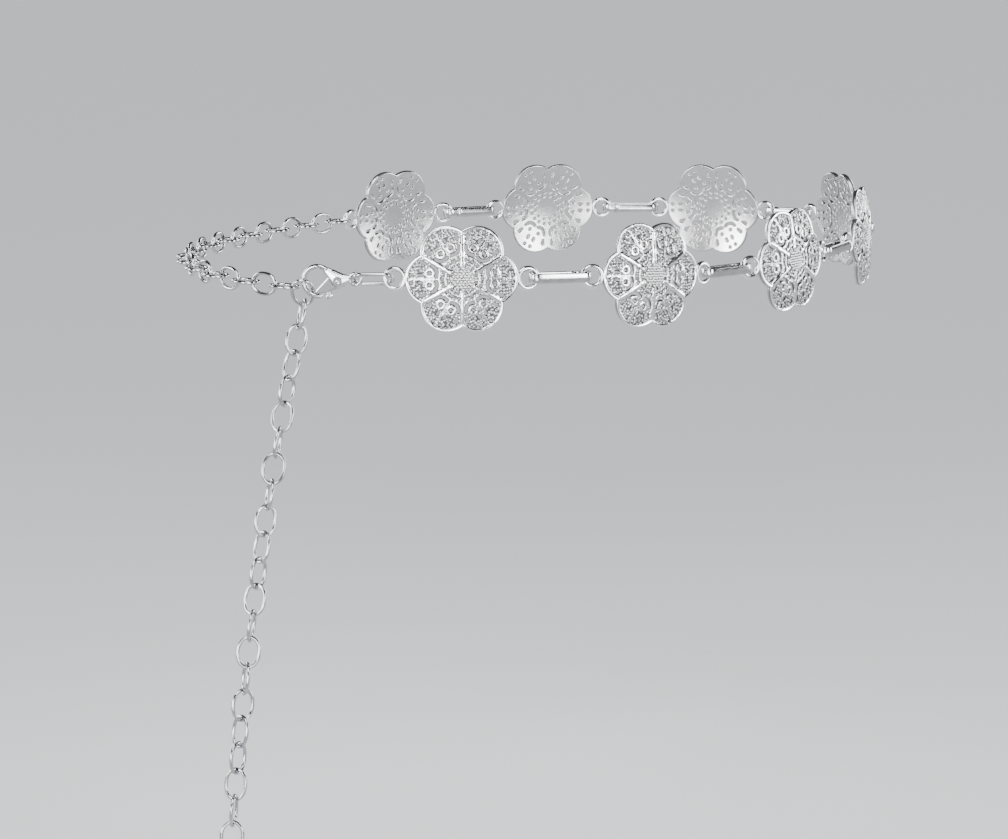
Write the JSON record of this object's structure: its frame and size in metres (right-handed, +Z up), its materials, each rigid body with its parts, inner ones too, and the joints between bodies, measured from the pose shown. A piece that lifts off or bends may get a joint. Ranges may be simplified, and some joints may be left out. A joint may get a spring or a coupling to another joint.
{
  "type": "waist chain",
  "caption": "Metal waist chain of pierced domed flower medallions and band links, closed by a lobster clasp on an oval link chain whose free end hangs down.",
  "frame": {"origin": "the middle of the loop that goes round the waist, at the height of the medallions' middles", "axes": "+Z up as worn, -Y out of the wearer's front, +X towards the wearer's left"},
  "size_m": [0.2991, 0.194, 0.19],
  "materials": {
    "cast_metal": "silver-tone plated casting, polished rims over darker recesses",
    "band_metal": "silver-tone plated, polished",
    "clasp_metal": "silver-tone plated, polished",
    "chain_metal": "silver-tone plated wire, polished"
  },
  "bodies": {
    "chain": {"flower_1": "cast_metal", "flower_2": "cast_metal", "flower_3": "cast_metal", "flower_4": "cast_metal", "flower_5": "cast_metal", "flower_6": "cast_metal", "flower_7": "cast_metal", "flower_8": "cast_metal", "band_link_1": "band_metal", "band_link_2": "band_metal", "band_link_3": "band_metal", "band_link_4": "band_metal", "band_link_5": "band_metal", "band_link_6": "band_metal", "band_link_7": "band_metal", "clasp_body": "clasp_metal", "clasp_pin": "clasp_metal", "clasp_link": "chain_metal", "corner_link": "chain_metal", "side_chain": "chain_metal", "tail_chain": "chain_metal"},
    "lever": {"clasp_lever": "clasp_metal"}
  },
  "joints": [
    {"name": "lever_hinge", "type": "hinge", "parent": "chain", "child": "lever", "pos_m": [-0.11917, -0.03676, -0.0002], "axis": [0.8822, 0.471, 0], "range_deg": [0, 20], "stiffness_Nm_per_rad": 0.002}
  ]
}
